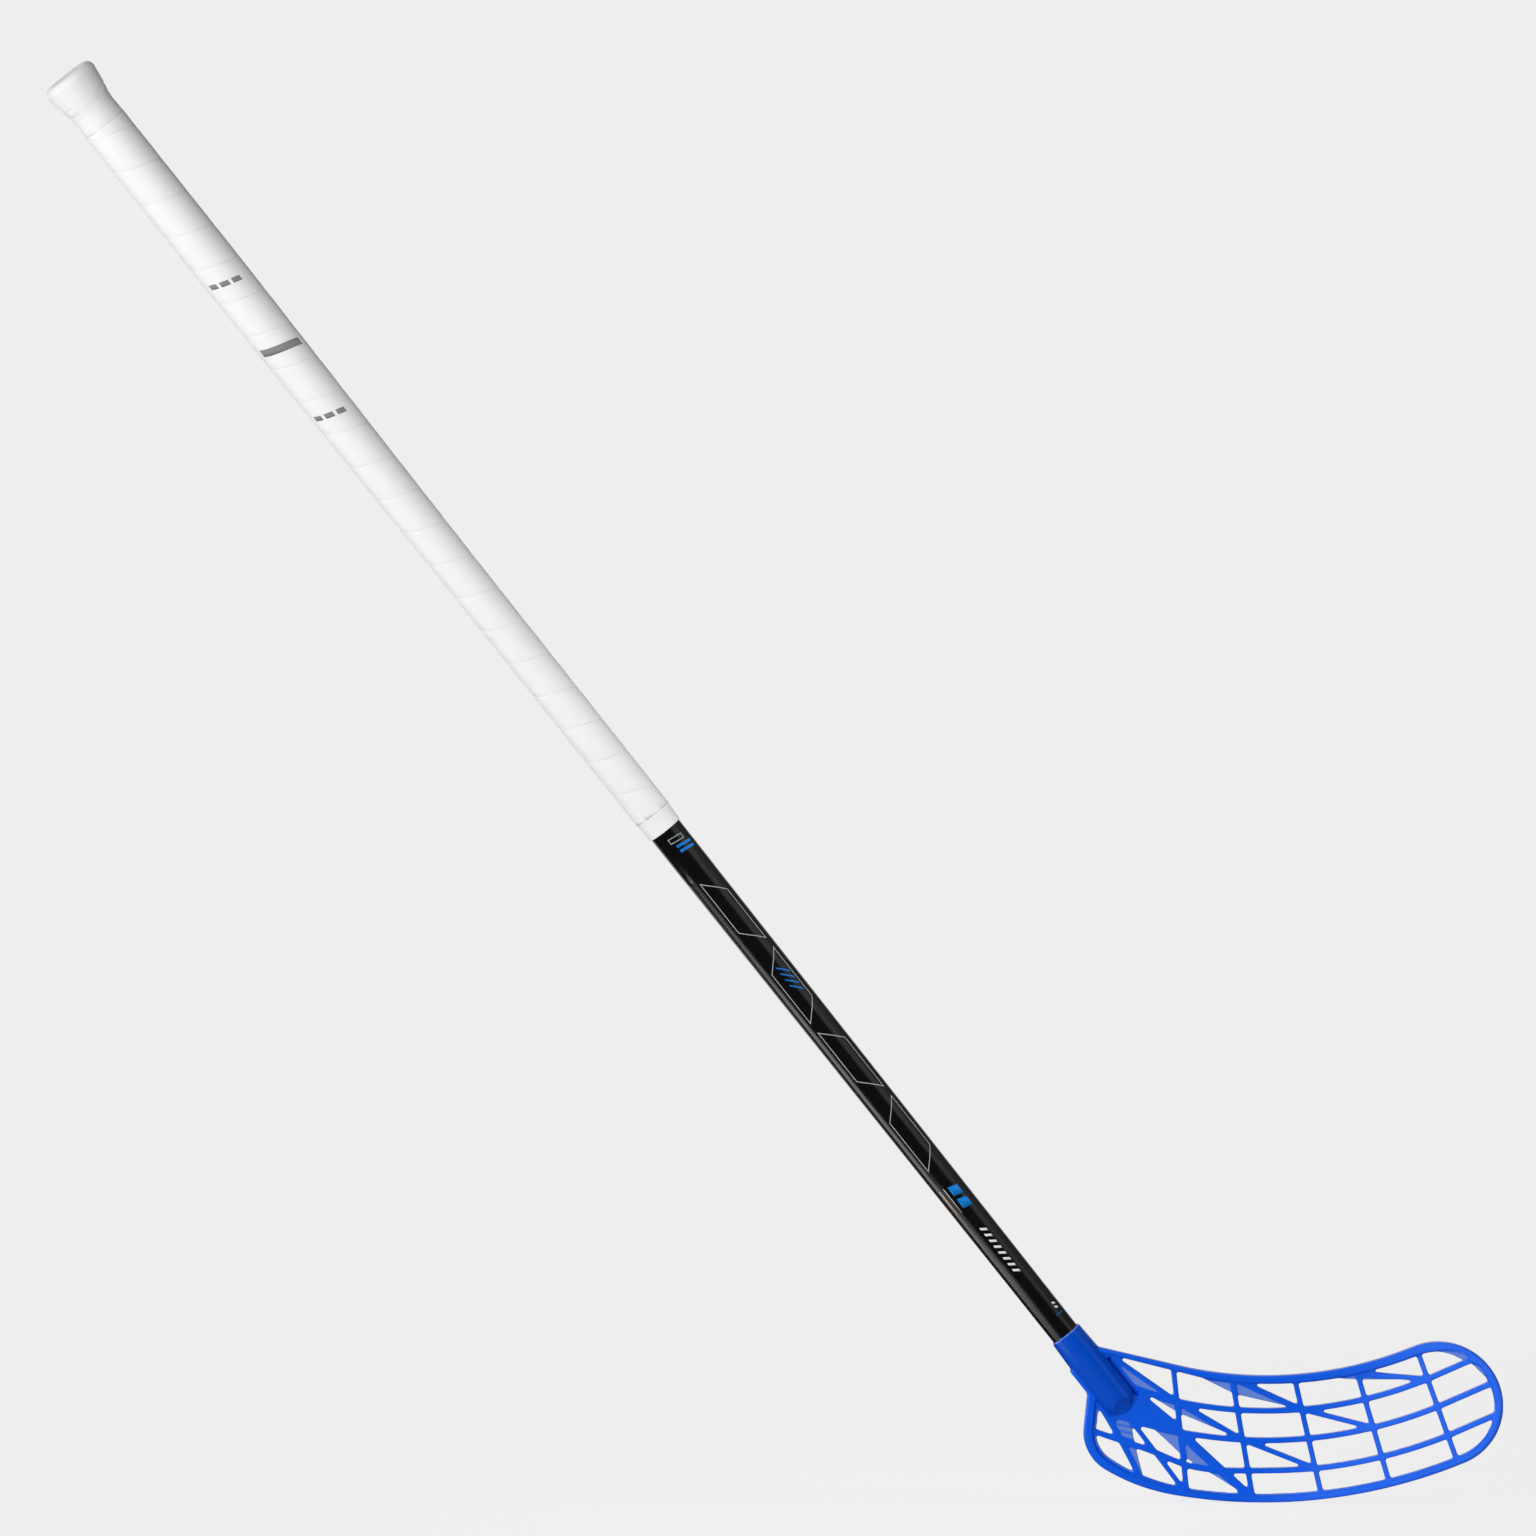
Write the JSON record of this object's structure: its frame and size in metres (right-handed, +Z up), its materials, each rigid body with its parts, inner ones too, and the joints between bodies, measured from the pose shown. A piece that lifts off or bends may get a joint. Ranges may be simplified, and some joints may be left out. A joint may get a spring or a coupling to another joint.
{
  "type": "floorball stick",
  "caption": "Straight tapered shaft with a wound soft grip and a flared butt, ending in a hooked open-lattice plastic blade that strikes a light ball on a floor.",
  "frame": {"origin": "centre of the butt face, on the shaft's axis", "axes": "playing lie: +Z up from the floor, +X along the floor towards the toe, +Y away from the blade's hollow face"},
  "size_m": [0.8729, 0.0482, 0.8649],
  "materials": {
    "shaft_lacquer": "black lacquered carbon laminate with fine rings round the tube",
    "plug_plastic": "white moulded plastic",
    "knob_rubber": "soft white rubber",
    "grip_band": "soft white band with a fine leathery grain",
    "end_tape": "white ribbed tape",
    "blade_plastic": "royal blue moulded plastic, semi-gloss",
    "screw_steel": "zinc-plated steel"
  },
  "bodies": {
    "root": {"shaft_tube": "shaft_lacquer", "butt_plug": "plug_plastic", "butt_knob": "knob_rubber", "grip_wrap": "grip_band", "grip_end_tape": "end_tape", "blade": "blade_plastic", "blade_screw": "screw_steel"}
  },
  "joints": []
}
